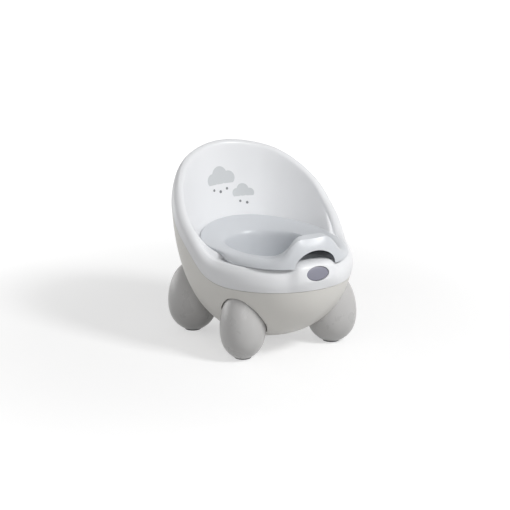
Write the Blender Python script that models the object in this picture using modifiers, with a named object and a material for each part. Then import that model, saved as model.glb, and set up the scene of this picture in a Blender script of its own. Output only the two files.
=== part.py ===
"""Potty training chair: a two-shell seat on four egg-shaped feet, with a lift-out pot.

Frame: origin on the floor under the middle of the chair, +X to the sitter's left,
-Y to the front, +Z up. All lengths are in metres and all angles in degrees.
"""
import math

import bmesh
import bpy
from mathutils import Matrix, Vector

# --- Overall size ---
HEIGHT = 0.279
WIDTH = 0.267
DEPTH = 0.292

# --- Walls, gaps and clearances ---
SHELL_WALL = 0.0026
POT_WALL = 0.0024
TOUCH_GAP = 0.0003          # between pieces that rest on each other
SEAM_GAP = 0.0008           # shadow line between the two shells
SOCKET_GAP = 0.0015         # between a foot and its socket
SOCKET_WALL = 0.0022
BOWL_CLEARANCE = 0.003      # between the pot's bowl and the deck's opening
RING_CLEARANCE = 0.0025     # between the seat ring's edge and the shell
DECK_END = 0.1              # how near the deck comes to the hole, as a share of the ring
DECK_RELIEF = 0.0018        # the deck lies this much lower towards the hole

# --- Body: one outer surface, shared by the tub and the seat shell ---
MIDDLE_Y = 0.025            # where the plan outline is widest
WIDEST_SHARE = 1.0043       # the widest ring against WIDTH; beside the seat the rim cuts below it
FLOOR_CLEARANCE = 0.006     # under the belly
BELLY_FRONT_Z = 0.130       # height of the widest ring at the front
BELLY_REAR_Z = 0.258        # and at the back, so the egg leans backwards
BELLY_POWER = 2.1           # roundness of the belly; 2 is an ellipse
UPPER_TAPER = 3.0          # how fast the wall draws in above its widest ring
OUTLINE_REAR_POWER = 1.85
OUTLINE_FRONT_POWER = 2.05

# --- Rim and seam, as heights at angles round the body (-90 front, 0 side, 90 back) ---
SHOULDER_Z = 0.1455         # flat top of the front, where the apron rests
RIM_HEIGHTS = [(-90, SHOULDER_Z - 0.0015), (-31, SHOULDER_Z - 0.0015), (-20, 0.150),
               (-9, 0.176), (4, 0.204), (22, 0.232), (50, 0.265), (90, HEIGHT)]
SEAM_HEIGHTS = [(-90, 0.1115), (-38, 0.1105), (-27, 0.1135), (-17, 0.1245), (-9, 0.150),
                (4, 0.181), (22, 0.206), (50, 0.239), (90, 0.253)]
LIP_WIDTH = 0.020           # rounded top of the rim, from the outer wall to the inner edge
LIP_DROP = 0.022            # height of its outer rounding
TONGUE_LIP_WIDTH = 0.024
TONGUE_LIP_DROP = 0.007
BACK_HOLLOW = 0.003         # how far the backrest is hollowed behind a straight slope

# --- Front tongue that carries the button ---
TONGUE_PROUD = 0.003
TONGUE_HALF_WIDTH = 0.043
TONGUE_FLAT = 0.026         # half-width of its raised middle
TONGUE_TOP_Z = 0.1535
TONGUE_LOW_Z = 0.110
TONGUE_FULL_Z = 0.126       # the bulge is complete from here up

# --- Pot ---
HOLE_HALF_WIDTH = 0.060
HOLE_FRONT_Y = -0.077
HOLE_FRONT_POWER = 2.5
HOLE_REAR_Y = 0.064
HOLE_MIDDLE_Y = -0.003
HOLE_Z = 0.148
POT_DEPTH = 0.104           # from the hole's edge to the bowl's floor
BOWL_SHOULDER_SIZE = 0.85   # below this share of the hole's size the bowl is a plain oval
BOWL_SIZES = [(0.30, 0.95), (0.65, 0.84), (0.90, 0.72), (0.98, 0.62), (1.0, 0.50)]
RING_HALF_WIDTH = 0.0965
RING_REAR_Y = 0.101
RING_FRONT_Y = -0.106
RING_SIDE_RISE = 0.008      # ring edge above the hole's edge, at the side
RING_REAR_RISE = 0.018      # and at the back
GUARD_RISE = 0.040          # splash guard above the hole's edge
GUARD_FLAT = 6.0            # it keeps its full height over this angle from the front
GUARD_END = 39.0            # and has run out at this one
HOLE_ROUND = 0.003          # rounding of the hole's edge
APRON_HALF_WIDTH = 0.104
APRON_FRONT_Y = -0.141
APRON_MIDDLE_Y = 0.005
APRON_FRONT_POWER = 2.4
APRON_START = -17.0         # angle where the ring's edge turns into the apron
APRON_BLEND = 10.0
ARCH_HALF_WIDTH = 0.034     # finger arch over the tongue
ARCH_TOP_Z = 0.169

# --- Feet ---
FOOT_SIDE_INSET = 0.057     # from the chair's side to the middle of the foot
FOOT_FRONT_INSET = 0.0835
FOOT_REAR_INSET = 0.0565
FOOT_RADIAL = 0.039         # half-length of the egg, away from the chair's middle
FOOT_TANGENT = 0.0345
FOOT_TOP_Z = 0.108
FOOT_WIDEST_Z = 0.043
EGG_TOP_POWER = 2.1         # above 2 the egg is fuller than an ellipse
EGG_BOTTOM_POWER = 2.3
EGG_BELOW_FLOOR = 0.001     # the egg's tip, cut off by the flat sole
FOOT_WALL = 0.0028
FOOT_TOP_WALL = 0.016       # thick top that takes the screw
SOLE_Z = 0.0012             # the plastic ends here and the pad goes on to the floor
PAD_RADIUS = 0.0125
PAD_THICKNESS = 0.003

# --- Screws and posts ---
SCREW_RADIUS = 0.00175
SCREW_HEAD_RADIUS = 0.0033
SCREW_HEAD_HEIGHT = 0.0024
SCREW_LENGTH = 0.016
SCREW_CLEARANCE = 0.0004
FOOT_SCREW_INSET = 0.007    # from the egg's axis towards the chair's middle
POST_RADIUS = 0.006
POST_SPLIT_Z = 0.095        # where the tub's posts meet the shell's posts
POST_LEDGE = 0.003          # plastic under a screw's head
POST_SIDE_X = 0.078
POST_FRONT_Y = -0.098
POST_REAR_Y = 0.086

# --- Button ---
BUTTON_HALF_WIDTH = 0.0182
BUTTON_HALF_HEIGHT = 0.0100
BUTTON_Z = 0.1365
BUTTON_TILT = 12.0          # the face leans back by this much
BUTTON_GAP = 0.0005
BUTTON_RECESS = 0.0010      # the face lies this far behind the tongue's front
BUTTON_EDGE = 0.0014        # rounding of the cap's edge
BUTTON_TRAVEL = 0.003
STOP_DEPTH = 0.0055         # the flange stops this far behind the tongue's front
FLANGE_WIDTH = 0.0016
FLANGE_THICKNESS = 0.0016
BARREL_WALL = 0.0014
EAR_RADIUS = 0.0032
STEM_RADIUS = 0.0026
SPRING_RADIUS = 0.0042
SPRING_WIRE = 0.0004
SPRING_TURNS = 5
SPRING_SLACK = 0.0005       # left between the coils when the button is fully pressed
PLATE_THICKNESS = 0.0022
PLATE_SCREW_RADIUS = 0.0012
PLATE_SCREW_HEAD = 0.0022
PLATE_SCREW_LENGTH = 0.0075

# --- What follows from them ---
FOOT_X = WIDTH / 2 - FOOT_SIDE_INSET
FOOT_FRONT_Y = FOOT_FRONT_INSET - DEPTH / 2
FOOT_REAR_Y = DEPTH / 2 - FOOT_REAR_INSET
LEDGE_Z = POST_SPLIT_Z - POST_LEDGE         # seat of the screws from below
FRONT_SEAT_Z = POST_SPLIT_Z + TOUCH_GAP + POST_LEDGE
FOOT_SEAT_Z = FOOT_TOP_Z + SOCKET_GAP + SOCKET_WALL + POST_LEDGE / 2
FLANGE_FRONT = -STOP_DEPTH - TOUCH_GAP
FLANGE_BACK = FLANGE_FRONT - FLANGE_THICKNESS
SPRING_LENGTH = BUTTON_TRAVEL + 2 * SPRING_WIRE * SPRING_TURNS + SPRING_SLACK
BARREL_END = FLANGE_BACK - SPRING_LENGTH - 2 * TOUCH_GAP
BORE_X = BUTTON_HALF_WIDTH + FLANGE_WIDTH + BUTTON_GAP
BORE_Y = BUTTON_HALF_HEIGHT + FLANGE_WIDTH + BUTTON_GAP
EAR_X = BORE_X + EAR_RADIUS
# Columns round half the body, as (from, to, steps): finer at the tongue and the apron's corner
COLUMN_BANDS = [(-90, -60, 7), (-60, -30, 4), (-30, 0, 6), (0, 90, 9)]
FEET = [("front_left", 1, FOOT_FRONT_Y), ("front_right", -1, FOOT_FRONT_Y),
        ("rear_left", 1, FOOT_REAR_Y), ("rear_right", -1, FOOT_REAR_Y)]
# Screws from below, except the front one, whose head is under the pot's apron
POSTS = [("left", POST_SIDE_X, HOLE_MIDDLE_Y, 0.0), ("right", -POST_SIDE_X, HOLE_MIDDLE_Y, 0.0),
         ("front", 0.0, POST_FRONT_Y, -90.0), ("rear", 0.0, POST_REAR_Y, 90.0)]


# === Number helpers ===
def smooth(value, low, high):
    """0 below low, 1 above high, with a soft S between."""
    t = min(max((value - low) / (high - low), 0.0), 1.0)
    return t * t * (3 - 2 * t)


def mix(a, b, share):
    return a + (b - a) * share


def along(stations, angle):
    """Height on a smooth curve through (angle, height) stations."""
    last = len(stations) - 1
    k = max(i for i in range(last) if stations[i][0] <= angle)
    (a0, z0), (a1, z1) = stations[k], stations[k + 1]

    def slope(i):
        if i in (0, last):
            return 0.0
        (a, z), (b, w) = stations[i - 1], stations[i + 1]
        return (w - z) / (b - a)

    t = (angle - a0) / (a1 - a0)
    step = a1 - a0
    rise = z1 - z0
    return (z0 + t * slope(k) * step
            + t * t * (3 * rise - (2 * slope(k) + slope(k + 1)) * step)
            + t ** 3 * ((slope(k) + slope(k + 1)) * step - 2 * rise))


def oval(angle, half_width, front, middle, rear, rear_power=2.0, front_power=2.0):
    """Point of an egg-shaped plan outline; angle -90 is its front, 0 its +X side.

    A power of 2 gives an ellipse, and more gives a squarer end.
    """
    c = math.cos(math.radians(angle))
    s = math.sin(math.radians(angle))
    c = 0.0 if abs(c) < 1e-9 else c
    reach = rear - middle if s > 0 else middle - front
    power = rear_power if s > 0 else front_power
    x = half_width * abs(c) ** (2 / power)
    y = middle + reach * math.copysign(abs(s) ** (2 / power), s)
    return x, y


def half_angles():
    """Angles of the columns, from the front (-90) to the back (90)."""
    angles = [-90.0]
    for low, high, steps in COLUMN_BANDS:
        angles += [mix(low, high, k / steps) for k in range(1, steps + 1)]
    return angles


# === Modelling helpers ===
def collection(name):
    group = bpy.data.collections.new(name)
    bpy.context.scene.collection.children.link(group)
    return group


def material(name, colour, roughness, metallic=0.0):
    mat = bpy.data.materials.new(name)
    mat.use_nodes = True
    shader = mat.node_tree.nodes["Principled BSDF"]
    shader.inputs["Base Color"].default_value = (*colour, 1.0)
    shader.inputs["Roughness"].default_value = roughness
    shader.inputs["Metallic"].default_value = metallic
    return mat


def add_object(name, mesh, group, mat=None, place=None):
    """Object for a mesh; without a material it is a cutter."""
    obj = bpy.data.objects.new(name, mesh)
    group.objects.link(obj)
    mesh.shade_smooth()
    mesh.set_sharp_from_angle(angle=math.radians(35))
    if place:
        obj.matrix_world = place
    if mat:
        mesh.materials.append(mat)
    else:
        obj.hide_render = True
        obj.display_type = "WIRE"
    return obj


def mesh_of(bm, name):
    mesh = bpy.data.meshes.new(name)
    bm.to_mesh(mesh)
    bm.free()
    return mesh


def boolean(obj, operand, operation):
    mod = obj.modifiers.new(operand.name, "BOOLEAN")
    mod.operation = operation
    mod.object = operand
    mod.solver = "EXACT"


def half_loft(name, columns, group, mat=None, wall=0.0):
    """Surface over columns of points on +X, mirrored to -X and, if asked, given a wall.

    Columns go round from the front to the back, and their points run up the outside,
    so the faces point out. A point that all columns share becomes a pole.
    """
    bm = bmesh.new()
    grid = [[bm.verts.new(point) for point in columns[0]]]
    for column in columns[1:]:
        verts = []
        for start, point in zip(grid[0], column):
            is_pole = (Vector(point) - start.co).length < 1e-9
            verts.append(start if is_pole else bm.verts.new(point))
        grid.append(verts)
    for left, right in zip(grid, grid[1:]):
        for k in range(len(left) - 1):
            bm.faces.new(dict.fromkeys([left[k], right[k], right[k + 1], left[k + 1]]))
    obj = add_object(name, mesh_of(bm, name), group, mat)
    mirror = obj.modifiers.new("Both sides", "MIRROR")
    mirror.merge_threshold = 0.00005
    if wall:
        solid = obj.modifiers.new("Wall", "SOLIDIFY")
        solid.thickness = wall
        solid.offset = -1
        solid.use_quality_normals = True
    return obj


def stack(name, rings, group, mat=None, steps=20, place=None):
    """Closed solid over level ellipses (x radius, y radius, height), from the bottom up."""
    bm = bmesh.new()
    turns = [2 * math.pi * j / steps for j in range(steps)]
    grid = []
    for rx, ry, z in rings:
        points = [(0, 0, z)] if rx < 1e-6 else [(rx * math.cos(a), ry * math.sin(a), z)
                                                for a in turns]
        grid.append([bm.verts.new(point) for point in points])
    for lower, upper in zip(grid, grid[1:]):
        for j in range(steps):
            i = (j + 1) % steps
            corners = [lower[j % len(lower)], lower[i % len(lower)],
                       upper[i % len(upper)], upper[j % len(upper)]]
            bm.faces.new(dict.fromkeys(corners))
    if len(grid[0]) > 1:
        bm.faces.new(reversed(grid[0]))
    if len(grid[-1]) > 1:
        bm.faces.new(grid[-1])
    return add_object(name, mesh_of(bm, name), group, mat, place)


def cylinder(name, radii, low, high, group, mat=None, steps=20, place=None):
    """Upright cylinder between two heights, round or oval."""
    bm = bmesh.new()
    bmesh.ops.create_cone(bm, cap_ends=True, segments=steps, radius1=1, radius2=1,
                          depth=high - low)
    bmesh.ops.scale(bm, vec=(*radii, 1), verts=bm.verts)
    bmesh.ops.translate(bm, vec=(0, 0, (low + high) / 2), verts=bm.verts)
    return add_object(name, mesh_of(bm, name), group, mat, place)


def rod(name, radius, place, low, high):
    """Plain round cylinder for joining or cutting."""
    return cylinder(name, (radius, radius), low, high, CUTTERS, steps=12, place=place)


def turned(name, profile, group, mat, steps=20, place=None):
    """Solid of revolution about its own Z; the profile (radius, height) runs down its outside."""
    bm = bmesh.new()
    verts = [bm.verts.new((radius, 0, z)) for radius, z in profile]
    for upper, lower in zip(verts, verts[1:]):
        bm.edges.new((upper, lower))
    obj = add_object(name, mesh_of(bm, name), group, mat, place)
    mod = obj.modifiers.new("Turn", "SCREW")
    mod.steps = mod.render_steps = steps
    mod.use_merge_vertices = True
    mod.merge_threshold = 0.00001
    return obj


def prism(name, section, half_width):
    """Section in the plane x = 0, drawn out to both sides."""
    bm = bmesh.new()
    bm.faces.new([bm.verts.new(point) for point in section])
    obj = add_object(name, mesh_of(bm, name), CUTTERS)
    solid = obj.modifiers.new("Draw out", "SOLIDIFY")
    solid.thickness = 2 * half_width
    solid.offset = 0
    return obj


def joined(name, objects):
    """One operand made of several closed bodies that stand apart."""
    bpy.context.view_layer.update()
    graph = bpy.context.evaluated_depsgraph_get()
    bm = bmesh.new()
    for obj in objects:
        mesh = bpy.data.meshes.new_from_object(obj.evaluated_get(graph))
        mesh.transform(obj.matrix_world)
        bm.from_mesh(mesh)
    for obj in objects:
        bpy.data.objects.remove(obj)
    return add_object(name, mesh_of(bm, name), CUTTERS)


# === Body surface ===
def body_point(angle, z, inset=0.0):
    """Point of the body's outer surface at this angle and height."""
    s = math.sin(math.radians(angle))
    widest = mix(BELLY_FRONT_Z, BELLY_REAR_Z, (1 + s) / 2)
    if z < widest:
        drop = min((widest - z) / (widest - FLOOR_CLEARANCE), 1.0)
        size = (1 - drop ** BELLY_POWER) ** (1 / BELLY_POWER)
    else:
        size = 1 - UPPER_TAPER * (z - widest) ** 2
    front = MIDDLE_Y - (DEPTH / 2 - TONGUE_PROUD + MIDDLE_Y) * size
    rear = MIDDLE_Y + (DEPTH / 2 - MIDDLE_Y) * size
    side = WIDTH / 2 * WIDEST_SHARE * size
    x, y = oval(angle, max(side - inset, 0), min(front + inset, MIDDLE_Y), MIDDLE_Y,
                max(rear - inset, MIDDLE_Y), OUTLINE_REAR_POWER, OUTLINE_FRONT_POWER)
    return x, y, z


def tongue_share(angle):
    """1 on the front tongue's raised middle, 0 away from it."""
    if angle > -45:
        return 0.0
    return 1 - smooth(body_point(angle, BELLY_FRONT_Z)[0], TONGUE_FLAT, TONGUE_HALF_WIDTH)


def outer_point(angle, z, inset=0.0):
    """Body surface with the tongue's bulge added; its face leans back with the button."""
    x, y, z = body_point(angle, z, inset)
    rise = smooth(z, TONGUE_LOW_Z, TONGUE_FULL_Z)
    lean = math.tan(math.radians(BUTTON_TILT))
    face = inset - DEPTH / 2 + max(z - TONGUE_FULL_Z, 0) * lean
    return x, mix(y, face, tongue_share(angle) * rise), z


def rim_height(angle):
    return mix(along(RIM_HEIGHTS, angle), TONGUE_TOP_Z, tongue_share(angle))


def seam_height(angle):
    return along(SEAM_HEIGHTS, angle)


# === Pot surface ===
def hole_point(angle, out, z, size=1.0):
    """Point of the hole's outline, moved out by so much and scaled about its middle."""
    power = mix(2.0, HOLE_FRONT_POWER, smooth(size, BOWL_SHOULDER_SIZE, 1.0))
    x, y = oval(angle, HOLE_HALF_WIDTH * size + out,
                mix(HOLE_MIDDLE_Y, HOLE_FRONT_Y, size) - out, HOLE_MIDDLE_Y,
                mix(HOLE_MIDDLE_Y, HOLE_REAR_Y, size) + out, front_power=power)
    return x, y, z


def ring_point(angle, share, out=0.0):
    """Point on the seat ring; share 0 is the hole's edge, 1 the ring's outer edge."""
    x0, y0, _ = hole_point(angle, HOLE_ROUND, 0)
    x1, y1 = oval(angle, RING_HALF_WIDTH + out, RING_FRONT_Y - out, HOLE_MIDDLE_Y,
                  RING_REAR_Y + out)
    s = math.sin(math.radians(angle))
    if s > 0:
        rise = mix(RING_SIDE_RISE, RING_REAR_RISE, s * s)
    else:
        rise = mix(GUARD_RISE, RING_SIDE_RISE, smooth(angle + 90, GUARD_FLAT, GUARD_END))
    start = HOLE_ROUND / 2
    z = HOLE_Z + start + (rise - start) * math.sin(share * math.pi / 2)
    return mix(x0, x1, share), mix(y0, y1, share), z


def apron_share(angle):
    """0 where the ring ends in a rounded edge, 1 where the apron hangs from it."""
    return 1 - smooth(angle, APRON_START - APRON_BLEND / 2, APRON_START + APRON_BLEND / 2)


def apron_point(angle, drop):
    """Point from the ring's edge (drop 0) down to the apron's hem (drop 1)."""
    x0, y0, z0 = ring_point(angle, 1.0)
    x1, y1 = oval(angle, APRON_HALF_WIDTH, APRON_FRONT_Y, APRON_MIDDLE_Y, RING_REAR_Y,
                  front_power=APRON_FRONT_POWER)
    hem = SHOULDER_Z + TOUCH_GAP
    out = math.sin(drop * math.pi / 2) ** 0.75
    down = 1 - math.cos(drop * math.pi / 2)
    apron = Vector((mix(x0, x1, out), mix(y0, y1, out), mix(z0, hem, down)))
    edge = Vector(ring_point(angle, 1.0, out * POT_WALL / 2))
    edge.z = z0 - POT_WALL * down
    return tuple(edge.lerp(apron, apron_share(angle)))


def pot_column(angle):
    """Pot section from its hem over the ring and down to the middle of its floor."""
    column = [apron_point(angle, drop) for drop in (1.0, 0.75, 0.5, 0.25)]
    column += [ring_point(angle, share) for share in (1.0, 0.66, 0.33, 0.0)]
    column.append(hole_point(angle, 0.0, HOLE_Z - HOLE_ROUND))
    for depth, size in BOWL_SIZES:
        column.append(hole_point(angle, 0.0, HOLE_Z - POT_DEPTH * depth, size))
    column.append((0, HOLE_MIDDLE_Y, HOLE_Z - POT_DEPTH))
    return column


# === Shell surfaces ===
def tub_column(angle, inset=0.0):
    """Tub section from the middle of the belly up to the seam."""
    rows = 8
    top = seam_height(angle) - SEAM_GAP / 2
    column = [(0, MIDDLE_Y, FLOOR_CLEARANCE + inset)]
    for k in range(1, rows + 1):
        share = 1 - math.cos(math.pi / 2 * k / rows)
        x, y, z = body_point(angle, mix(FLOOR_CLEARANCE, top, share), inset)
        column.append((x, y, z + inset * (1 - k / rows)))
    return column


def deck_point(angle, share):
    """Deck under the pot; share 0 is at its opening, 1 under the ring's edge."""
    x, y, z = ring_point(angle, share)
    under_ring = z - POT_WALL - 2 * TOUCH_GAP - DECK_RELIEF * (1 - share ** 3)
    return x, y, mix(under_ring, SHOULDER_Z, apron_share(angle))


def lip_points(angle, wall=0.0):
    """The rim's rounded top from its outer wall to its inner edge, sunk by a wall."""
    top = rim_height(angle)
    width = mix(LIP_WIDTH, TONGUE_LIP_WIDTH, tongue_share(angle))
    drop = mix(LIP_DROP, TONGUE_LIP_DROP, tongue_share(angle))
    floor = deck_point(angle, 1.0)[2]
    points = []
    for inward, down in ((0.0, 1.0), (0.10, 0.48), (0.29, 0.16), (0.54, 0.0), (0.79, 0.04),
                         (0.94, 0.16), (1.0, 0.34)):
        z = top - drop * down
        if inward > 0.5:
            z = max(z, min(floor, top + 0.0015))
        points.append(outer_point(angle, z - wall, width * inward + wall * (1 - inward)))
    return points


def shell_column(angle):
    """Shell section from the seam over the rim, down the backrest to the deck's opening."""
    seam = seam_height(angle) + SEAM_GAP / 2
    lip = lip_points(angle)
    half_way = mix(mix(seam, lip[0][2], 0.5), TONGUE_FULL_Z, tongue_share(angle))
    column = [outer_point(angle, seam), outer_point(angle, half_way)] + lip
    edge = Vector(lip[-1])
    x, y, z = ring_point(angle, 1.0, RING_CLEARANCE)
    foot = Vector((x, y, deck_point(angle, 1.0)[2]))
    for share in (0.35, 0.7, 0.92):
        point = edge.lerp(foot, share)
        outward = Vector((point.x, point.y - MIDDLE_Y, 0)).normalized()
        hollow = BACK_HOLLOW * math.sin(share * math.pi) * smooth(edge.z - foot.z, 0, 0.05)
        column.append(tuple(point + outward * hollow))
    column.append(tuple(foot))
    column += [deck_point(angle, share) for share in (1.0, 0.6, 0.3, DECK_END)]
    low = deck_point(angle, DECK_END)[2]
    for sink in (0.4, 4.0):
        column.append(hole_point(angle, POT_WALL + BOWL_CLEARANCE, low - SHELL_WALL * sink))
    return column


def tongue_section():
    """The tongue's section, half a wall inside its outer face and closed behind."""
    inside = SHELL_WALL / 2
    seam = seam_height(-90)
    lip = lip_points(-90, inside)
    return ([outer_point(-90, seam, inside), outer_point(-90, TONGUE_FULL_Z, inside)] + lip
            + [(0, lip[-1][1], seam)])


# === Feet ===
def egg_rings(grow=0.0, low=None, high=None, rows=10):
    """Level rings of the foot's egg, grown by so much and cut flat at low and high."""
    bottom = -EGG_BELOW_FLOOR - grow if low is None else low
    top = FOOT_TOP_Z + grow if high is None else high
    rings = []
    for k in range(rows + 1):
        z = mix(bottom, top, (1 - math.cos(math.pi * k / rows)) / 2)
        if z > FOOT_WIDEST_Z:
            share = (z - FOOT_WIDEST_Z) / (FOOT_TOP_Z + grow - FOOT_WIDEST_Z)
            size = math.sqrt(max(1 - share ** EGG_TOP_POWER, 0))
        else:
            share = (FOOT_WIDEST_Z - z) / (FOOT_WIDEST_Z + EGG_BELOW_FLOOR + grow)
            size = math.sqrt(max(1 - share ** EGG_BOTTOM_POWER, 0))
        rings.append(((FOOT_RADIAL + grow) * size, (FOOT_TANGENT + grow) * size, z))
    return rings


def foot_place(side, y):
    """The egg's own X points away from the chair's middle."""
    heading = math.atan2(y - MIDDLE_Y, side * FOOT_X)
    return Matrix.Translation((side * FOOT_X, y, 0)) @ Matrix.Rotation(heading, 4, "Z")


def foot_screw_place(side, y):
    """The egg's own frame, moved in towards the chair's middle."""
    return foot_place(side, y) @ Matrix.Translation((-FOOT_SCREW_INSET, 0, 0))


def screw(name, place, radius=SCREW_RADIUS, head=SCREW_HEAD_RADIUS, length=SCREW_LENGTH):
    """Pan-head screw along its own Z, with its head's seat at 0 and its tip up."""
    height = SCREW_HEAD_HEIGHT * head / SCREW_HEAD_RADIUS
    profile = [(0, length), (radius * 0.4, length), (radius, length - radius), (radius, 0),
               (head, 0), (head, -height * 0.6), (head * 0.8, -height), (0, -height)]
    return turned(name, profile, PARTS, STEEL, steps=10, place=place)


def build_feet():
    """Hollow eggs with a thick top for the screw and a recess for the non-slip pad."""
    for label, side, y in FEET:
        place = foot_place(side, y)
        foot = stack("foot_" + label, egg_rings(low=SOLE_Z), PARTS, FOOT_GREY, place=place)
        hollow = egg_rings(-FOOT_WALL, SOLE_Z + PAD_THICKNESS + FOOT_WALL,
                           FOOT_TOP_Z - FOOT_TOP_WALL, 5)
        boolean(foot, stack("hollow_" + label, hollow, CUTTERS, steps=12, place=place),
                "DIFFERENCE")
        axis = foot_screw_place(side, y)
        boolean(foot, rod("pilot_" + label, SCREW_RADIUS + TOUCH_GAP, axis,
                          FOOT_TOP_Z - FOOT_TOP_WALL - FOOT_WALL, FOOT_TOP_Z + FOOT_WALL),
                "DIFFERENCE")
        recess_radius = PAD_RADIUS + TOUCH_GAP
        recess = cylinder("recess_" + label, (recess_radius, recess_radius), -FOOT_WALL,
                          PAD_THICKNESS + TOUCH_GAP, CUTTERS, place=place)
        boolean(foot, recess, "DIFFERENCE")
        bevel = PAD_THICKNESS / 4
        turned("pad_" + label, [(0, PAD_THICKNESS), (PAD_RADIUS, PAD_THICKNESS),
                                (PAD_RADIUS, bevel), (PAD_RADIUS - bevel, 0), (0, 0)],
               PARTS, RUBBER, place=place)
        seat = Matrix.Translation((0, 0, FOOT_SEAT_Z + TOUCH_GAP))
        screw("foot_screw_" + label, axis @ seat @ Matrix.Rotation(math.pi, 4, "X"))


# === Tub and seat shell ===
def build_tub():
    """Bowl-shaped lower shell with four arched sockets and four screw posts."""
    tub = half_loft("outer_tub", [tub_column(a) for a in half_angles()], PARTS, CREAM, SHELL_WALL)
    lid = (0, MIDDLE_Y, SHOULDER_Z)
    room = half_loft("tub_room", [tub_column(a, SHELL_WALL / 2) + [lid] for a in half_angles()],
                     CUTTERS)
    inner = [stack("cup_" + label, egg_rings(SOCKET_GAP + SOCKET_WALL, rows=6), CUTTERS, steps=16,
                   place=foot_place(side, y)) for label, side, y in FEET]
    upright = {label: Matrix.Translation((x, y, 0)) for label, x, y, _ in POSTS}
    inner += [rod("post_" + label, POST_RADIUS, place, 0, POST_SPLIT_Z)
              for label, place in upright.items()]
    inner = joined("tub_inner", inner)
    boolean(inner, room, "INTERSECT")
    boolean(tub, inner, "UNION")
    bosses = joined("tub_bosses", [rod("boss_" + label, POST_RADIUS, foot_screw_place(side, y),
                                       FOOT_TOP_Z - FOOT_WALL, FOOT_SEAT_Z)
                                   for label, side, y in FEET])
    boolean(bosses, room, "INTERSECT")
    boolean(tub, bosses, "UNION")
    sockets = [stack("socket_" + label, egg_rings(SOCKET_GAP, rows=8), CUTTERS, steps=20,
                     place=foot_place(side, y))
               for label, side, y in FEET]
    boolean(tub, joined("tub_sockets", sockets), "DIFFERENCE")
    bores = [rod("foot_bore_" + label, SCREW_RADIUS + SCREW_CLEARANCE, foot_screw_place(side, y),
                 FOOT_TOP_Z - FOOT_WALL, FOOT_SEAT_Z + FOOT_WALL) for label, side, y in FEET]
    front = upright.pop("front")
    bores.append(rod("pilot_front", SCREW_RADIUS + TOUCH_GAP, front,
                     FRONT_SEAT_Z - SCREW_LENGTH - POST_LEDGE, FRONT_SEAT_Z))
    bores += [rod("bore_" + label, SCREW_RADIUS + SCREW_CLEARANCE, place, LEDGE_Z - POST_LEDGE,
                  POST_SPLIT_Z + POST_LEDGE) for label, place in upright.items()]
    boolean(tub, joined("tub_bores", bores), "DIFFERENCE")
    heads = [rod("head_" + label, SCREW_HEAD_RADIUS + SCREW_CLEARANCE, place, -POST_LEDGE, LEDGE_Z)
             for label, place in upright.items()]
    boolean(tub, joined("tub_head_bores", heads), "DIFFERENCE")
    for label, place in upright.items():
        screw("shell_screw_" + label, place @ Matrix.Translation((0, 0, LEDGE_Z - TOUCH_GAP)))
    seat = Matrix.Translation((0, 0, FRONT_SEAT_Z + TOUCH_GAP))
    screw("shell_screw_front", front @ seat @ Matrix.Rotation(math.pi, 4, "X"))


def post_top(x, y, angle):
    """Height inside the deck's wall at the post's side nearest to the hole."""
    near = deck_point(angle, 0.0)
    far = deck_point(angle, 1.0)
    span = math.hypot(far[0] - near[0], far[1] - near[1])
    share = (math.hypot(abs(x) - near[0], y - near[1]) - POST_RADIUS) / span
    return deck_point(angle, share)[2] - SHELL_WALL / 2


def button_place():
    """Button's frame: origin in the middle of its hole, own Z outwards."""
    y = outer_point(-90, BUTTON_Z)[1]
    return (Matrix.Translation((0, y, BUTTON_Z))
            @ Matrix.Rotation(math.radians(90 - BUTTON_TILT), 4, "X"))


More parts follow.
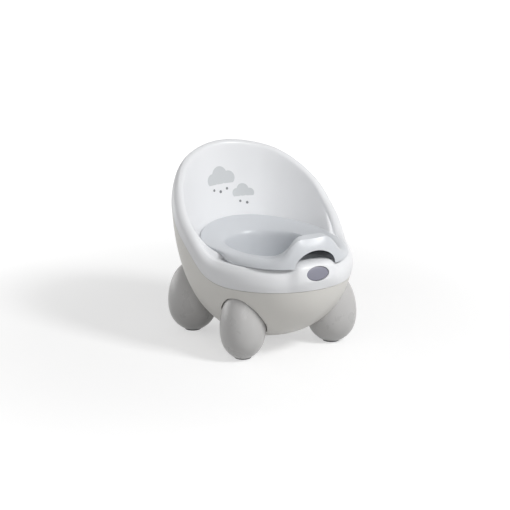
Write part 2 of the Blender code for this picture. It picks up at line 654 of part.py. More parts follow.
def build_shell():
    """Upper shell: rolled rim, backrest, deck, posts, and the tongue with its barrel."""
    shell = half_loft("seat_shell", [shell_column(a) for a in half_angles()], PARTS, WHITE,
                      SHELL_WALL)
    upright = {label: Matrix.Translation((x, y, 0)) for label, x, y, _ in POSTS}
    posts = [rod("shell_post_" + label, POST_RADIUS, upright[label], POST_SPLIT_Z + TOUCH_GAP,
                 post_top(x, y, angle)) for label, x, y, angle in POSTS]
    boolean(shell, joined("shell_posts", posts), "UNION")

    place = button_place()
    reach = 2 * SHELL_WALL
    barrel = cylinder("barrel", (BORE_X + BARREL_WALL, BORE_Y + BARREL_WALL), BARREL_END, reach,
                      CUTTERS, place=place)
    for side in (1, -1):
        ear = cylinder("ear_%+d" % side, (EAR_RADIUS, EAR_RADIUS), BARREL_END, reach, CUTTERS,
                       steps=16, place=place @ Matrix.Translation((side * EAR_X, 0, 0)))
        boolean(barrel, ear, "UNION")
    boolean(barrel, prism("tongue_room", tongue_section(), EAR_X + 2 * EAR_RADIUS), "INTERSECT")
    boolean(shell, barrel, "UNION")
    boolean(shell, cylinder("flange_bore", (BORE_X, BORE_Y), BARREL_END - reach, -STOP_DEPTH,
                            CUTTERS, steps=32, place=place), "DIFFERENCE")
    mouth = (BUTTON_HALF_WIDTH + BUTTON_GAP, BUTTON_HALF_HEIGHT + BUTTON_GAP)
    boolean(shell, cylinder("button_hole", mouth, -STOP_DEPTH - BARREL_WALL, 2 * reach, CUTTERS,
                            steps=32, place=place), "DIFFERENCE")
    front = upright.pop("front")
    pilots = [rod("shell_pilot_" + label, SCREW_RADIUS + TOUCH_GAP, at, POST_SPLIT_Z - POST_LEDGE,
                  LEDGE_Z + SCREW_LENGTH + POST_LEDGE) for label, at in upright.items()]
    pilots.append(rod("front_bore", SCREW_RADIUS + SCREW_CLEARANCE, front,
                      POST_SPLIT_Z - POST_LEDGE, FRONT_SEAT_Z + POST_LEDGE))
    boolean(shell, joined("shell_pilots", pilots), "DIFFERENCE")
    boolean(shell, rod("front_head_bore", SCREW_HEAD_RADIUS + SCREW_CLEARANCE, front,
                       FRONT_SEAT_Z, SHOULDER_Z + POST_LEDGE), "DIFFERENCE")
    deep = BARREL_END - PLATE_THICKNESS + PLATE_SCREW_LENGTH + TOUCH_GAP
    for side in (1, -1):
        pilot = rod("ear_pilot_%+d" % side, PLATE_SCREW_RADIUS + TOUCH_GAP,
                    place @ Matrix.Translation((side * EAR_X, 0, 0)), BARREL_END - reach, deep)
        boolean(shell, pilot, "DIFFERENCE")


# === Pot and button ===
def build_pot():
    """Seat ring, splash guard, apron and bowl in one moulding, with the finger arch cut out."""
    pot = half_loft("pot", [pot_column(a) for a in half_angles()], PARTS, GREY, POT_WALL)
    depth = RING_FRONT_Y - APRON_FRONT_Y
    height = ARCH_TOP_Z - SHOULDER_Z
    at_hem = Matrix.Translation((0, APRON_FRONT_Y, SHOULDER_Z))
    arch = cylinder("arch", (ARCH_HALF_WIDTH, height), -depth * 0.75, depth, CUTTERS, steps=36,
                    place=at_hem @ Matrix.Rotation(math.pi / 2, 4, "X"))
    boolean(pot, arch, "DIFFERENCE")


def build_button():
    """Cap with flange and stem, return spring, and the plate that guides the stem."""
    place = button_place()
    wide, high = BUTTON_HALF_WIDTH, BUTTON_HALF_HEIGHT
    face = -BUTTON_RECESS
    plate_top = BARREL_END - TOUCH_GAP
    plate_bottom = plate_top - PLATE_THICKNESS
    edge = BUTTON_EDGE
    stack("button_cap", [
        (STEM_RADIUS, STEM_RADIUS, plate_bottom - TOUCH_GAP),
        (STEM_RADIUS, STEM_RADIUS, FLANGE_BACK),
        (wide + FLANGE_WIDTH, high + FLANGE_WIDTH, FLANGE_BACK),
        (wide + FLANGE_WIDTH, high + FLANGE_WIDTH, FLANGE_FRONT),
        (wide, high, FLANGE_FRONT), (wide, high, face - edge),
        (wide - edge * 0.3, high - edge * 0.3, face - edge * 0.3), (wide - edge, high - edge, face),
        (wide * 0.5, high * 0.5, face + edge * 0.4), (0, 0, face + edge * 0.5)],
        PARTS, LILAC, steps=32, place=place)

    plate = cylinder("button_guide", (BORE_X + BARREL_WALL, BORE_Y + BARREL_WALL), plate_bottom,
                     plate_top, PARTS, NATURAL, steps=32, place=place)
    for side in (1, -1):
        at_ear = place @ Matrix.Translation((side * EAR_X, 0, 0))
        ear = cylinder("guide_ear_%+d" % side, (EAR_RADIUS, EAR_RADIUS), plate_bottom, plate_top,
                       CUTTERS, steps=16, place=at_ear)
        boolean(plate, ear, "UNION")
        hole = rod("guide_hole_%+d" % side, PLATE_SCREW_RADIUS + TOUCH_GAP, at_ear,
                   2 * plate_bottom, 0)
        boolean(plate, hole, "DIFFERENCE")
        seat = Matrix.Translation((0, 0, plate_bottom - TOUCH_GAP))
        screw("guide_screw_" + ("left" if side > 0 else "right"), at_ear @ seat,
              PLATE_SCREW_RADIUS, PLATE_SCREW_HEAD, PLATE_SCREW_LENGTH)
    boolean(plate, cylinder("stem_hole", (STEM_RADIUS + TOUCH_GAP, STEM_RADIUS + TOUCH_GAP),
                            2 * plate_bottom, 0, CUTTERS, place=place), "DIFFERENCE")
    build_spring(place, plate_top + TOUCH_GAP + SPRING_WIRE, FLANGE_BACK - TOUCH_GAP - SPRING_WIRE)


def build_spring(place, low, high):
    """Round-wire coil between the guide plate and the cap's flange."""
    curve = bpy.data.curves.new("button_spring", "CURVE")
    curve.dimensions = "3D"
    curve.bevel_depth = SPRING_WIRE
    curve.bevel_resolution = 1
    curve.use_fill_caps = True
    per_turn = 12
    count = SPRING_TURNS * per_turn + 1
    line = curve.splines.new("POLY")
    line.points.add(count - 1)
    for k in range(count):
        a = 2 * math.pi * k / per_turn
        z = mix(low, high, k / (count - 1))
        line.points[k].co = (SPRING_RADIUS * math.cos(a), SPRING_RADIUS * math.sin(a), z, 1)
    curve.materials.append(STEEL)
    obj = bpy.data.objects.new("button_spring", curve)
    PARTS.objects.link(obj)
    obj.matrix_world = place


# === Build ===
for old in list(bpy.data.objects):
    bpy.data.objects.remove(old)

PARTS = collection("Potty chair")
CUTTERS = collection("Cutters")

WHITE = material("White shell plastic", (0.80, 0.81, 0.82), 0.35)
CREAM = material("Warm white tub plastic", (0.76, 0.74, 0.71), 0.45)
GREY = material("Light grey pot plastic", (0.60, 0.62, 0.65), 0.35)
FOOT_GREY = material("Grey foot plastic", (0.48, 0.48, 0.48), 0.40)
RUBBER = material("Grey pad rubber", (0.25, 0.25, 0.26), 0.85)
LILAC = material("Dark button plastic", (0.25, 0.25, 0.30), 0.40)
STEEL = material("Zinc-plated steel", (0.70, 0.70, 0.72), 0.30, 1.0)
NATURAL = material("Natural inner plastic", (0.75, 0.75, 0.72), 0.50)

build_tub()
build_shell()
build_pot()
build_feet()
build_button()
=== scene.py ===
# %% [markdown]
# # A potty training chair, dressed for its portrait
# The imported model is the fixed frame: every body, joint and size is already settled there.
# This lesson adds what a moulded plastic product shows on top of that: smooth skins, the small
# radii that moulds leave, satin and gloss plastics with their fine texture, a printed
# decoration, and soft studio light.

# %% Load the frame and keep its box
import math
from functools import reduce

import bmesh
import bpy
from mathutils import Matrix, Vector


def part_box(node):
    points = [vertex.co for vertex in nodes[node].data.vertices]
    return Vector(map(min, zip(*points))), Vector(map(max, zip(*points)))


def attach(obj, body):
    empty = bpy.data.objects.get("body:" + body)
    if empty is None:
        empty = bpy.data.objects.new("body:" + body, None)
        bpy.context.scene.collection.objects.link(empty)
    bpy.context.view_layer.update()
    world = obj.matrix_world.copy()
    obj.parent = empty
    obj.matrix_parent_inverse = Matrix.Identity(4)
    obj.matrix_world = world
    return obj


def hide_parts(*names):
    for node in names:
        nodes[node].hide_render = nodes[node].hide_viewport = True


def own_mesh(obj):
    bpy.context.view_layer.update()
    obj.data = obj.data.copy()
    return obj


CORNERS = ("front_left", "front_right", "rear_left", "rear_right")

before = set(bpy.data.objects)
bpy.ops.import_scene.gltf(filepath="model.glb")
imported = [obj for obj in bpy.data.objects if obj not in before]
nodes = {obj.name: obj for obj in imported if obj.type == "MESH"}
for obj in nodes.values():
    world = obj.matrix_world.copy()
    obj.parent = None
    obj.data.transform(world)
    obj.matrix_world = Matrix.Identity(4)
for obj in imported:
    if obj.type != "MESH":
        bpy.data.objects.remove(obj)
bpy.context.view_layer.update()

# %% [markdown]
# The camera comes first, because it decides how large and how sharp each detail has to be.
# The view is a long lens from the chair's front right, a little above the seat, so the verticals
# stay nearly parallel. Its distance and focal length were fitted to the outline of the chair.

# %% Camera
VIEW_AZIMUTH = math.radians(-30.57)
VIEW_ELEVATION = math.radians(16.25)
VIEW_DISTANCE = 2.508
VIEW_REACH = 20.0
FRAME_PIXELS = 510
FOCAL_PIXELS = 1650.0
SENSOR_MM = 36.0
LOOK_RIGHT = -0.00874
LOOK_UP = 0.1191
LOOK_BASE = Vector((0, 0.015, 0))

towards = Vector((math.sin(VIEW_AZIMUTH) * math.cos(VIEW_ELEVATION),
                  -math.cos(VIEW_AZIMUTH) * math.cos(VIEW_ELEVATION), math.sin(VIEW_ELEVATION)))
rightwards = Vector((math.cos(VIEW_AZIMUTH), math.sin(VIEW_AZIMUTH), 0))
upwards = towards.cross(rightwards)
camera_data = bpy.data.cameras.new("portrait")
camera_data.sensor_width = SENSOR_MM
camera_data.lens = SENSOR_MM * FOCAL_PIXELS / FRAME_PIXELS
camera_data.clip_end = VIEW_REACH
camera = bpy.data.objects.new("portrait", camera_data)
bpy.context.scene.collection.objects.link(camera)
camera.matrix_world = Matrix((rightwards, upwards, towards)).transposed().to_4x4()
camera.location = (LOOK_BASE + LOOK_RIGHT * rightwards + LOOK_UP * upwards
                   + VIEW_DISTANCE * towards)
bpy.context.scene.camera = camera
print("camera at", [round(v, 3) for v in camera.location])

# %% [markdown]
# Plastic looks like plastic because of small things: a slightly uneven gloss, a colour that
# drifts a little, a fine grain from the mould's surface. All of these are numbers that vary over
# the surface, so they are written as expressions. One small class wraps a node socket, and an
# operator on it adds the Math node that does it.

# %% Shader expressions
class Socket:
    """A number or colour in a material's node tree that Python operators can combine."""

    def __init__(self, maker, link):
        self.maker = maker
        self.link = link

    def math(self, operation, *others):
        return self.maker.node("ShaderNodeMath", {"operation": operation},
                               dict(enumerate((self, *others))))

    def __add__(self, other):
        return self.math("ADD", other)

    def __sub__(self, other):
        return self.math("SUBTRACT", other)

    def __rsub__(self, other):
        return (self * -1.0) + other

    def __mul__(self, other):
        return self.math("MULTIPLY", other)

    __radd__ = __add__
    __rmul__ = __mul__

    def highest(self, other):
        return self.math("MAXIMUM", other)

    def step(self, low, high):
        """0 below low and 1 above high, with a soft edge; low above high turns it round."""
        return self.maker.node("ShaderNodeMapRange", {"interpolation_type": "SMOOTHSTEP"},
                               {"Value": self, "From Min": low, "From Max": high})


class Maker:
    """Adds nodes to one node tree, of a material or of the world."""

    def __init__(self, tree):
        self.tree = tree

    def node(self, kind, settings, inputs, output=0):
        """Adds any node: its settings first, then a value or a link for each named input."""
        made = self.tree.nodes.new(kind)
        for key, value in settings.items():
            setattr(made, key, value)
        for key, value in inputs.items():
            if isinstance(value, Socket):
                self.tree.links.new(value.link, made.inputs[key])
            else:
                made.inputs[key].default_value = value
        return Socket(self, made.outputs[output])

    def seen_directly(self):
        """1 for the camera's own rays and for those that gloss or glass sends on, else 0."""
        rays = self.node("ShaderNodeLightPath", {}, {}, "Is Camera Ray")
        outputs = rays.link.node.outputs
        return rays.highest(Socket(self, outputs["Is Glossy Ray"])).highest(
            Socket(self, outputs["Is Transmission Ray"]))


class Finish(Maker):
    """A material under construction: a Principled shader and the nodes that feed it."""

    def __init__(self, name, **constants):
        self.material = bpy.data.materials.new(name)
        self.material.use_nodes = True
        super().__init__(self.material.node_tree)
        self.shader = self.tree.nodes["Principled BSDF"]
        for key, value in constants.items():
            self.shader.inputs[key.replace("_", " ")].default_value = value
        self.place = self.node("ShaderNodeTexCoord", {}, {}, "Object")

    def axes(self):
        """X, Y and Z of the surface point, in metres."""
        split = self.node("ShaderNodeSeparateXYZ", {}, {0: self.place})
        outputs = split.link.node.outputs
        return tuple(Socket(self, outputs[k]) for k in range(3))

    def noise(self, scale, detail=2.0):
        """Soft noise from 0 to 1, about 1/scale metres across."""
        return self.node("ShaderNodeTexNoise", {},
                         {"Vector": self.place, "Scale": scale, "Detail": detail}, "Fac")

    def mix(self, share, first, second):
        """Blend of two colours, each a socket or red, green and blue as numbers."""
        first, second = (colour if isinstance(colour, Socket) else (*colour, 1.0)
                         for colour in (first, second))
        return self.node("ShaderNodeMix", {"data_type": "RGBA"},
                         {0: share, 6: first, 7: second}, 2)

    def feed(self, name, value):
        self.tree.links.new(value.link, self.shader.inputs[name])

    def bump(self, height, strength, distance):
        normal = self.node("ShaderNodeBump", {}, {"Height": height, "Strength": strength,
                                                  "Distance": distance}, "Normal")
        self.feed("Normal", normal)


print("shader helpers ready")

# %% [markdown]
# Every plastic here shares one recipe. A broad noise makes the colour drift by a percent or two,
# as pigment does. A second noise moves the roughness, because hands and cloths polish some
# places more. A very fine one is the mould's own grain. It goes into the bump, together with
# the slower ripple of a surface that shrank a little as it cooled.

# %% One recipe for moulded plastic
PIGMENT_SCALE = 9.0
PIGMENT_SPREAD = (0.3, 0.7)
COLOUR_DRIFT = 0.012
POLISH_SCALE = 38.0
POLISH_RANGE = 0.06
GRAIN_SCALE = 1400.0
RIPPLE_SCALE = 160.0
RIPPLE_SHARE = 1.5
BUMP_STRENGTH = 0.35
MOULD_GRAIN = 0.00004
RUBBER_GRAIN = 0.0001
SHELL_ROUGHNESS = 0.34


def linear(*shown):
    """Colour as a picture editor shows it (0 to 255), turned into the shader's linear values."""
    return tuple(v / 255 / 12.92 if v <= 10 else ((v / 255 + 0.055) / 1.055) ** 2.4
                 for v in shown)


def plastic(name, colour, roughness, grain_depth=MOULD_GRAIN, **constants):
    """The shared recipe. Its colour and polish are kept for a print that is laid over them."""
    finish = Finish(name, **constants)
    pigment = finish.noise(PIGMENT_SCALE, detail=3.0)
    pale = tuple(min(v * (1 + COLOUR_DRIFT), 1.0) for v in colour)
    deep = tuple(v * (1 - COLOUR_DRIFT) for v in colour)
    finish.colour = finish.mix(pigment.step(*PIGMENT_SPREAD), deep, pale)
    finish.polish = finish.noise(POLISH_SCALE, detail=4.0)
    finish.feed("Base Color", finish.colour)
    finish.feed("Roughness", finish.polish * POLISH_RANGE + (roughness - POLISH_RANGE / 2))
    ripple = finish.noise(RIPPLE_SCALE)
    finish.bump(finish.noise(GRAIN_SCALE) + ripple * RIPPLE_SHARE, BUMP_STRENGTH, grain_depth)
    return finish


white_shell = plastic("white shell plastic", linear(238, 239, 241), SHELL_ROUGHNESS)
warm_tub = plastic("warm white tub plastic", linear(226, 224, 219), 0.42)
grey_pot = plastic("light grey pot plastic", linear(210, 213, 217), 0.34)
grey_foot = plastic("grey foot plastic", linear(194, 193, 192), 0.28)
dark_button = plastic("dark button plastic", linear(137, 137, 150), 0.40)
pad_rubber = plastic("pad rubber", linear(122, 122, 124), 0.80, RUBBER_GRAIN)
inner_plastic = plastic("natural inner plastic", linear(224, 223, 217), 0.50)
zinc = plastic("zinc-plated steel", linear(200, 202, 206), 0.30, Metallic=1.0)
print("finishes made:", len(bpy.data.materials))

# %% [markdown]
# The backrest carries a pad-printed decoration in two greys. Ink lies on the plastic without any
# thickness, so it is a colour, not a piece. Here it is two small clouds with rain dots: each
# cloud is a union of discs on the point's own X and Z, cut flat along its base. At this height
# the shell has only its backrest there, whose other side the tub covers, so no other mask is
# needed. Ink is a little duller than the moulded surface, so the same mask lifts the roughness.

# %% Printed clouds and rain dots
INK_EDGE = 0.00025
INK_DULLNESS = 0.12
LIGHT_INK = linear(203, 206, 208)
DARK_INK = linear(112, 114, 118)
SPECKLE_SCALE = 2600.0
SPECKLE_DEPTH = 0.12
SHELL_POLISH_RANGE = 0.10
CLOUDS = [(0.2140, [(-0.0270, 0.2210, 0.0098), (-0.0130, 0.2270, 0.0138),
                    (0.0025, 0.2218, 0.0108)]),
          (0.1925, [(0.0140, 0.1976, 0.0070), (0.0238, 0.2018, 0.0095),
                    (0.0340, 0.1971, 0.0068)])]
RAIN_DOTS = [(-0.0255, 0.2060, 0.0020), (-0.0135, 0.2025, 0.0023), (-0.0015, 0.2060, 0.0020),
             (0.0182, 0.1850, 0.0018), (0.0286, 0.1822, 0.0020)]


def discs(across, up, circles):
    """1 inside any circle (middle across, middle up, radius), 0 outside, with an inked edge."""
    spots = []
    for x, z, radius in circles:
        dx = across - x
        dz = up - z
        distance = (dx * dx + dz * dz).math("SQRT")
        spots.append(distance.step(radius + INK_EDGE, radius - INK_EDGE))
    return reduce(Socket.highest, spots)


across, _, up = white_shell.axes()
clouds = reduce(Socket.highest, [discs(across, up, circles)
                                 * up.step(base - INK_EDGE, base + INK_EDGE)
                                 for base, circles in CLOUDS])
dots = discs(across, up, RAIN_DOTS)
speckle = white_shell.noise(SPECKLE_SCALE, detail=1.0) * SPECKLE_DEPTH + (1 - SPECKLE_DEPTH)
inked = white_shell.mix(clouds * speckle, white_shell.colour, LIGHT_INK)
inked = white_shell.mix(dots * speckle, inked, DARK_INK)
white_shell.feed("Base Color", inked)
white_shell.feed("Roughness", white_shell.polish * SHELL_POLISH_RANGE
                 + clouds.highest(dots) * INK_DULLNESS
                 + (SHELL_ROUGHNESS - SHELL_POLISH_RANGE / 2))
print("print has", sum(len(c) for _, c in CLOUDS) + len(RAIN_DOTS), "discs")

# %% [markdown]
# The shells come from the frame as facets. A copy with its doubled points merged, its triangles
# paired back into quads and its real edges creased can carry a Subdivision Surface, which turns
# the facets into the flowing surface that the mould has, and keeps each rim and cut crisp.

# %% Smooth skins from the frame's own solids
CREASE_ANGLE = math.radians(38)
SAME_POINT = 0.00002
PAIR_FOLD = math.radians(30)
PAIR_SKEW = math.radians(60)


def only(piece):
    """Deselects everything and makes one object active."""
    bpy.ops.object.select_all(action="DESELECT")
    piece.select_set(True)
    bpy.context.view_layer.objects.active = piece


def own_copy(source, name):
    """Copy of an object with a mesh of its own."""
    piece = bpy.data.objects.new(name, source.data.copy())
    bpy.context.scene.collection.objects.link(piece)
    return piece


def coat(piece, finish):
    """Makes one finish the only material of a piece."""
    piece.data.materials.clear()
    piece.data.materials.append(finish.material)


def round_edges(piece, width, angle):
    """Small radius on all edges of the active piece that turn by more than the angle."""
    radius = piece.modifiers.new("mould radius", "BEVEL")
    radius.width = width
    radius.segments = 2
    radius.limit_method = "ANGLE"
    radius.angle_limit = angle
    bpy.ops.object.modifier_apply(modifier="mould radius")


def smooth(piece, levels):
    """Subdivides the active piece, with its sharp edges creased so that they stay crisp."""
    bm = bmesh.new()
    bm.from_mesh(piece.data)
    crease = bm.edges.layers.float.new("crease_edge")
    for edge in bm.edges:
        if not edge.is_manifold or edge.calc_face_angle(0) > CREASE_ANGLE:
            edge[crease] = 1.0
    bm.to_mesh(piece.data)
    bm.free()
    rounded = piece.modifiers.new("rounded", "SUBSURF")
    rounded.levels = rounded.render_levels = levels
    bpy.ops.object.modifier_apply(modifier="rounded")
    bpy.ops.object.shade_smooth_by_angle(angle=CREASE_ANGLE)


def skin(node, name, finish, body, levels=2, edge_radius=0.0, shape=None):
    """Smooth copy of a node, reshaped and given a mould's small radius where those are asked."""
    piece = own_copy(nodes[node], name)
    only(piece)
    bpy.ops.object.mode_set(mode="EDIT")
    bpy.ops.mesh.select_all(action="SELECT")
    bpy.ops.mesh.remove_doubles(threshold=SAME_POINT)
    bpy.ops.mesh.tris_convert_to_quads(face_threshold=PAIR_FOLD, shape_threshold=PAIR_SKEW)
    bpy.ops.object.mode_set(mode="OBJECT")
    if shape:
        shape(piece.data)
    if edge_radius:
        round_edges(piece, edge_radius, CREASE_ANGLE)
    smooth(piece, levels)
    coat(piece, finish)
    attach(piece, body)
    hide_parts(node)
    print(name, "has", len(piece.data.polygons), "faces")
    return piece


print("skins crease where a surface turns by over", round(math.degrees(CREASE_ANGLE)), "degrees")

# %% [markdown]
# The splash guard is the one form that is corrected here. On the real pot its crest stands
# nearly over the apron's hem, it is flat on top with square shoulders, and its flanks are hollow
# towards the hole. So every point between the hole's edge and the hem slides forward, most at
# the crest, and the guard's height gets the squarer outline and the hollows. Each outline below
# is a half width, a middle, a front and a power, as front_edge takes them. The pairs are where
# something begins and is full: angles, distances from the middle plane, or shares of the height.

# %% Guard slid forward
MIDDLE_Y = -0.003
HOLE_LEVEL = 0.148
HOLE_EDGE = (0.063, MIDDLE_Y, -0.080, 2.5)
CREST_LINE = (0.0965, MIDDLE_Y, -0.106, 2.0)
HEM_LINE = (0.104, 0.005, -0.141, 2.4)
FRONT_RISE = 0.040
SIDE_RISE = 0.008
SOLID_SHOULDER = (6, 39)
REAL_SHOULDER = (11, 35)
SLIDE_MIDDLE = 0.012
SLIDE_SHOULDER = 0.024
SLIDE_SPREAD = (0, 0.045)
SLIDE_FADE = (0.062, 0.090)
UPPER_PART = (0.5, 0.9)
HOLLOW = 0.45
HOLLOW_START = (0.004, 0.032)
HOLLOW_FADE = (0.050, 0.080)


def front_edge(x, half_width, middle, front, power):
    """Front edge of an egg-shaped outline at a distance x from its middle plane."""
    share = min(abs(x) / half_width, 1)
    return middle - (middle - front) * (1 - share ** power) ** (1 / power)


def soft(value, start, end):
    """0 at the start, 1 at the end, with a soft S between."""
    share = min(max((value - start) / (end - start), 0), 1)
    return share * share * (3 - 2 * share)


def guard_rise(x, shoulder):
    """Height of the crest above the hole's edge, for a shoulder between two angles."""
    angle = math.degrees(math.asin(min(abs(x) / CREST_LINE[0], 1)))
    return FRONT_RISE + (SIDE_RISE - FRONT_RISE) * soft(angle, *shoulder)


def slide_guard(mesh):
    """Moves the guard's points to the form that the real guard has."""
    for vertex in mesh.vertices:
        x, y, z = vertex.co
        aside = abs(x)
        hole, crest, hem = (front_edge(x, *line) for line in (HOLE_EDGE, CREST_LINE, HEM_LINE))
        if y > hole or aside > SLIDE_FADE[1]:
            continue
        share = soft(y, hole, crest) if y > crest else max((y - hem) / (crest - hem), 0)
        slide = SLIDE_MIDDLE + (SLIDE_SHOULDER - SLIDE_MIDDLE) * soft(aside, *SLIDE_SPREAD)
        vertex.co.y -= share * slide * (1 - soft(aside, *SLIDE_FADE))
        if z > HOLE_LEVEL:
            rise = guard_rise(x, SOLID_SHOULDER)
            squarer = guard_rise(x, REAL_SHOULDER) / rise - 1
            upper = soft((z - HOLE_LEVEL) / rise, *UPPER_PART)
            inner = min((hole - y) / (hole - crest), 1)
            flank = soft(aside, *HOLLOW_START) * (1 - soft(aside, *HOLLOW_FADE))
            hollow = 1 - HOLLOW * math.sin(inner * math.pi) * flank
            vertex.co.z = HOLE_LEVEL + (z - HOLE_LEVEL) * (1 + squarer * upper) * hollow


print("crest slides", SLIDE_MIDDLE * 1000, "to", SLIDE_SHOULDER * 1000, "mm forward")

# %% [markdown]
# Now every moulded piece gets its skin, its finish and its body. The pot alone has a radius cut
# into its edges first, because its rim, arch and hem are the edges that catch the light.

# %% Skins of the shells, pot, button and feet
POT_EDGE_RADIUS = 0.0005

skin("seat_shell", "shell_skin", white_shell, "chair")
skin("outer_tub", "tub_skin", warm_tub, "chair")
skin("pot", "pot_skin", grey_pot, "pot_body", edge_radius=POT_EDGE_RADIUS, shape=slide_guard)
skin("button_cap", "button_skin", dark_button, "button_body")
for corner in CORNERS:
    skin("foot_" + corner, "foot_skin_" + corner, grey_foot, "chair")

# %% [markdown]
# Under each foot a rubber pad keeps the chair from sliding. Such pads have rings moulded into
# their sole, so that water is pressed away. The pad starts as a cylinder. Its lower face is inset
# again and again: an inset with a depth goes into a groove, and the next one comes back out.
# Then the edges get a small radius, so that they catch the light. The pad is modelled once, and
# the next step copies it to the four places that the frame gives.

# %% One grooved pad
PAD_SIDES = 48
PAD_EDGE_RADIUS = 0.000125
PAD_EDGE_ANGLE = math.radians(30)
GROOVES = 3
GROOVE_DEPTH = 0.0005
GROOVE_SLOPE = 0.0003
GROOVE_FLOOR = 0.0008
LAND_WIDTH = 0.0016
END_FACE = 0.9


def round_blank(name, sides, radius, height, middle):
    """Upright cylinder on the Z axis, with the middle of its height at a given level."""
    bpy.ops.object.select_all(action="DESELECT")
    bpy.ops.mesh.primitive_cylinder_add(vertices=sides, radius=radius, depth=height,
                                        location=(0, 0, middle))
    blank = bpy.context.active_object
    blank.name = name
    bpy.ops.object.transform_apply(location=True, rotation=True, scale=True)
    return blank


def edit_end(piece, way):
    """Goes to edit mode with just the end face selected that looks up (1) or down (-1)."""
    only(piece)
    bpy.ops.object.mode_set(mode="EDIT")
    bpy.ops.mesh.select_mode(type="FACE")
    bpy.ops.mesh.select_all(action="DESELECT")
    bm = bmesh.from_edit_mesh(piece.data)
    for face in bm.faces:
        face.select_set(face.normal.z * way > END_FACE)
    bmesh.update_edit_mesh(piece.data)


low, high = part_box("pad_front_left")
pad_height = high[2] - low[2]
pad = round_blank("pad_master", PAD_SIDES, (high[0] - low[0]) / 2, pad_height, pad_height / 2)
edit_end(pad, -1)
bpy.ops.mesh.inset(thickness=LAND_WIDTH, depth=0)
for _ in range(GROOVES):
    bpy.ops.mesh.inset(thickness=GROOVE_SLOPE, depth=-GROOVE_DEPTH)
    bpy.ops.mesh.inset(thickness=GROOVE_FLOOR, depth=0)
    bpy.ops.mesh.inset(thickness=GROOVE_SLOPE, depth=GROOVE_DEPTH)
    bpy.ops.mesh.inset(thickness=LAND_WIDTH, depth=0)
bpy.ops.object.mode_set(mode="OBJECT")
round_edges(pad, PAD_EDGE_RADIUS, PAD_EDGE_ANGLE)
bpy.ops.object.shade_smooth_by_angle(angle=PAD_EDGE_ANGLE)
print("pad has", len(pad.data.polygons), "faces")

# %% [markdown]
# A copy gets a mesh of its own and takes its place by moving the mesh, not the object. The
# object then still sits at the origin, as the frame's own nodes do.

# %% Four pads
def upright(node):
    """Middle across, middle along, lowest and highest level of an upright node."""
    low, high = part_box(node)
    return (low[0] + high[0]) / 2, (low[1] + high[1]) / 2, low[2], high[2]


def place_copy(master, name, matrix, finish, node):
    """Copy of a finished piece, put in the place of a node on the chair's own body."""
    piece = own_copy(master, name)
    piece.data.transform(matrix)
    coat(piece, finish)
    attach(piece, "chair")
    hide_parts(node)


for corner in CORNERS:
    across, along, sole, _ = upright("pad_" + corner)
    place_copy(pad, "grooved_pad_" + corner, Matrix.Translation((across, along, sole)),
               pad_rubber, "pad_" + corner)
bpy.data.objects.remove(pad)
print("pads placed")

# %% [markdown]
# The shells and the feet are held by pan-head screws with a cross recess. The head is a short
# cylinder whose lower edge is rounded over. Its upper face is inset to the shank's width and
# drawn out, and the end is tapered. The recess is cut by two crossed bars, in the form that a
# cold-forming punch leaves.

# %% One cross-recessed screw
SCREW_SIDES = 32
SCREW_LENGTH = 0.016
HEAD_HEIGHT = 0.0024
HEAD_ROUNDING = HEAD_HEIGHT * 0.4
SHANK_RADIUS = 0.00175
TIP_LENGTH = SHANK_RADIUS
TIP_SHARE = 0.4
RECESS_REACH = 0.0019
RECESS_WIDTH = 0.0006
RECESS_DEPTH = 0.0014
SCREW_EDGE_ANGLE = math.radians(35)

low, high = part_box("shell_screw_front")
head_radius = (high[0] - low[0]) / 2
screw = round_blank("screw_master", SCREW_SIDES, head_radius, HEAD_HEIGHT, -HEAD_HEIGHT / 2)
edit_end(screw, -1)
bpy.ops.mesh.bevel(offset=HEAD_ROUNDING, segments=4, affect="EDGES")
bpy.ops.object.mode_set(mode="OBJECT")
edit_end(screw, 1)
bpy.ops.mesh.inset(thickness=head_radius - SHANK_RADIUS, depth=0)
for drawn_out in (SCREW_LENGTH - TIP_LENGTH, TIP_LENGTH):
    bpy.ops.mesh.extrude_region_move(TRANSFORM_OT_translate={"value": (0, 0, drawn_out)})
bpy.ops.transform.resize(value=(TIP_SHARE, TIP_SHARE, 1), center_override=(0, 0, SCREW_LENGTH))
bpy.ops.object.mode_set(mode="OBJECT")

for turned in (False, True):
    bpy.ops.object.select_all(action="DESELECT")
    bpy.ops.mesh.primitive_cube_add(size=2, location=(0, 0, -HEAD_HEIGHT))
    bar = bpy.context.active_object
    reach = (RECESS_WIDTH / 2, RECESS_REACH) if turned else (RECESS_REACH, RECESS_WIDTH / 2)
    bar.scale = (*reach, RECESS_DEPTH)
    bpy.ops.object.transform_apply(location=True, rotation=True, scale=True)
    only(screw)
    cut = screw.modifiers.new("recess", "BOOLEAN")
    cut.operation = "DIFFERENCE"
    cut.solver = "EXACT"
    cut.object = bar
    bpy.ops.object.modifier_apply(modifier="recess")
    bpy.data.objects.remove(bar)
only(screw)
bpy.ops.object.shade_smooth_by_angle(angle=SCREW_EDGE_ANGLE)
print("screw has", len(screw.data.polygons), "faces")

# %% [markdown]
# The same screw serves eight places. Three of the shell's screws are driven from below, with
# the head down. The one under the pot's apron and the four in the feet are driven from above,
# so their copies are turned over.

# %% Eight screws
SCREWS = ["shell_screw_" + side for side in ("left", "right", "front", "rear")]
SCREWS += ["foot_screw_" + corner for corner in CORNERS]
DRIVEN_UP = ("shell_screw_left", "shell_screw_right", "shell_screw_rear")
TURNED_OVER = Matrix.Rotation(math.pi, 4, "X")

for node in SCREWS:
    across, along, lowest, highest = upright(node)
    if node in DRIVEN_UP:
        place = Matrix.Translation((across, along, lowest + HEAD_HEIGHT))
    else:
        place = Matrix.Translation((across, along, highest - HEAD_HEIGHT)) @ TURNED_OVER
    place_copy(screw, "cross_" + node, place, zinc, node)
bpy.data.objects.remove(screw)
print("screws placed")

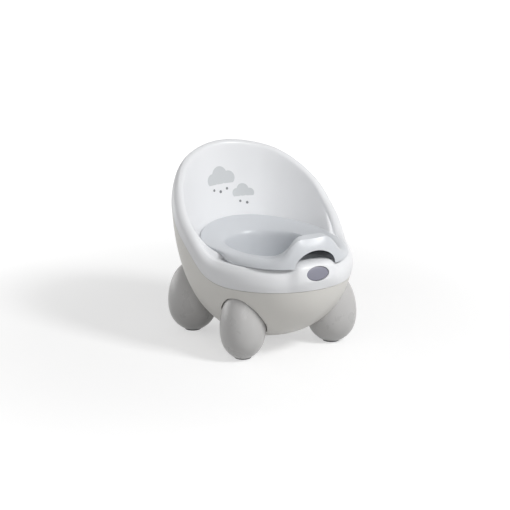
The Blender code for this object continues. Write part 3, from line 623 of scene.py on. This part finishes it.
# %% [markdown]
# The coil spring gets round wire from the same smoothing, and a mesh of its own.

coil = skin("button_spring", "coil_spring", zinc, "chair", levels=1)
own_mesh(coil)

# %% [markdown]
# The guide plate and its two small screws are closed in behind the button. They keep their own
# solids and only need their finish.

# %% Finishes of the closed-in pieces
for node, finish in (("guide_screw_left", zinc), ("guide_screw_right", zinc),
                     ("button_guide", inner_plastic)):
    coat(nodes[node], finish)
print("closed-in pieces finished")

# %% [markdown]
# A catalogue picture has pure white round the object and only soft shadows under it. Turning up
# the lamps would wash out a pale chair, so the floor does it instead. To the camera its paint
# glows a little: where the floor is lit in full the two add up to white, and where the chair
# keeps the light away the shadow stays. The lamps reach the far floor less, so the glow grows
# with the distance.

# %% Floor
FLOOR_SIZE = 12.0
FLOOR_GLOW = 0.52
FAR_GLOW = 1.0
GLOW_START = 0.25
GLOW_END = 1.2
PAPER_DEEP = linear(196, 196, 196)
PAPER_PALE = linear(201, 201, 201)
PAPER_CLOUD_SCALE = 3.0

bpy.ops.object.select_all(action="DESELECT")
bpy.ops.mesh.primitive_plane_add(size=FLOOR_SIZE, location=(0, 0, 0))
floor = bpy.context.active_object
floor.name = "floor"
paper = Finish("white paper floor", Roughness=0.8, Specular_IOR_Level=0.1,
               Emission_Strength=1.0)
paper.feed("Base Color", paper.mix(paper.noise(PAPER_CLOUD_SCALE), PAPER_DEEP, PAPER_PALE))
across, along, _ = paper.axes()
distance = (across * across + along * along).math("SQRT")
glow = FLOOR_GLOW + (FAR_GLOW - FLOOR_GLOW) * distance.step(GLOW_START, GLOW_END)
paper.feed("Emission Color", paper.mix(paper.seen_directly() * glow, (0, 0, 0), (1, 1, 1)))
floor.data.materials.append(paper.material)
print("floor laid")

# %% [markdown]
# The world is the white tent round the table. What the camera and the reflections see of it is
# pure white. As a light it is weaker, so that a softbox from the upper right can model the
# round forms: it leaves the wall on the left and the low parts of the feet in shade. A weak
# fill from the front and a wide, low light from the left behind lift those shades a little.

# %% World and softboxes
TENT_LIGHT = 0.30
AIM = Vector((0, 0, 0.13))
UP = Vector((0, 0, 1))

world = bpy.data.worlds.new("white tent")
bpy.context.scene.world = world
world.use_nodes = True
tent = Maker(world.node_tree)
backdrop = tent.tree.nodes["Background"]
backdrop.inputs["Color"].default_value = (1, 1, 1, 1)
tent.tree.links.new((tent.seen_directly() * (1 - TENT_LIGHT) + TENT_LIGHT).link,
                    backdrop.inputs["Strength"])


def softbox(name, right, rise, near, width, power):
    """Square lamp placed as seen from the camera, in metres from the chair, and aimed at it."""
    data = bpy.data.lights.new(name, "AREA")
    data.size = width
    data.energy = power
    light = bpy.data.objects.new(name, data)
    bpy.context.scene.collection.objects.link(light)
    light.location = AIM + right * rightwards + rise * UP + near * towards
    light.rotation_euler = (AIM - light.location).to_track_quat("-Z", "Y").to_euler()


softbox("key", right=1.35, rise=1.15, near=0.90, width=0.5, power=27)
softbox("front fill", right=0.35, rise=0.00, near=1.8, width=0.8, power=3.2)
softbox("low edge light", right=-1.5, rise=0.10, near=-0.6, width=1.3, power=10)
bpy.context.scene.view_settings.view_transform = "Standard"
print("studio lit")
